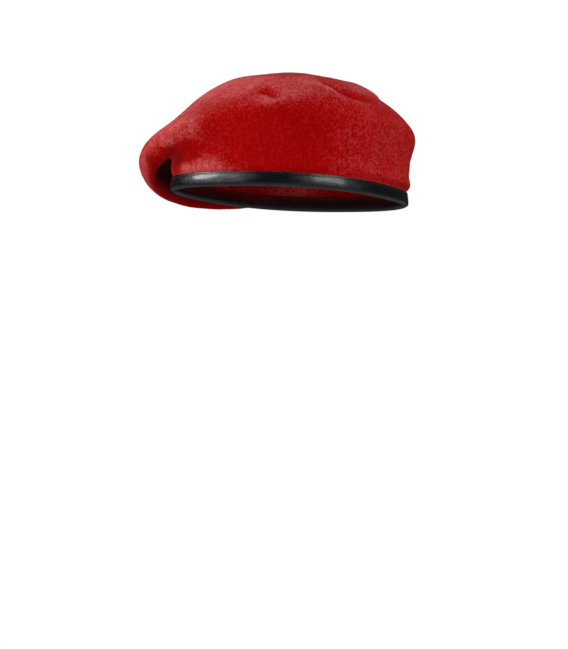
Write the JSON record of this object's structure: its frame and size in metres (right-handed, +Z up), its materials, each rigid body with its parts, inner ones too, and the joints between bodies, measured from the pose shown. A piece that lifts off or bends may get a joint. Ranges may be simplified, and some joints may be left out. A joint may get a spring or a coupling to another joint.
{
  "type": "beret",
  "caption": "Soft felt military beret as worn, with a leather-bound rim, raised front and a drape pulled down over one side.",
  "frame": {"origin": "middle of the head opening, in the lower plane of the rim", "axes": "+Z up out of the head, -Y the front of the hat, +X the wearer's left; the drape is at -X"},
  "size_m": [0.2088, 0.2225, 0.0953],
  "materials": {
    "red_felt": "matt brushed wool felt",
    "black_leather": "semi-gloss fine grain"
  },
  "bodies": {
    "root": {"crown": "red_felt", "headband": "black_leather"}
  },
  "joints": []
}
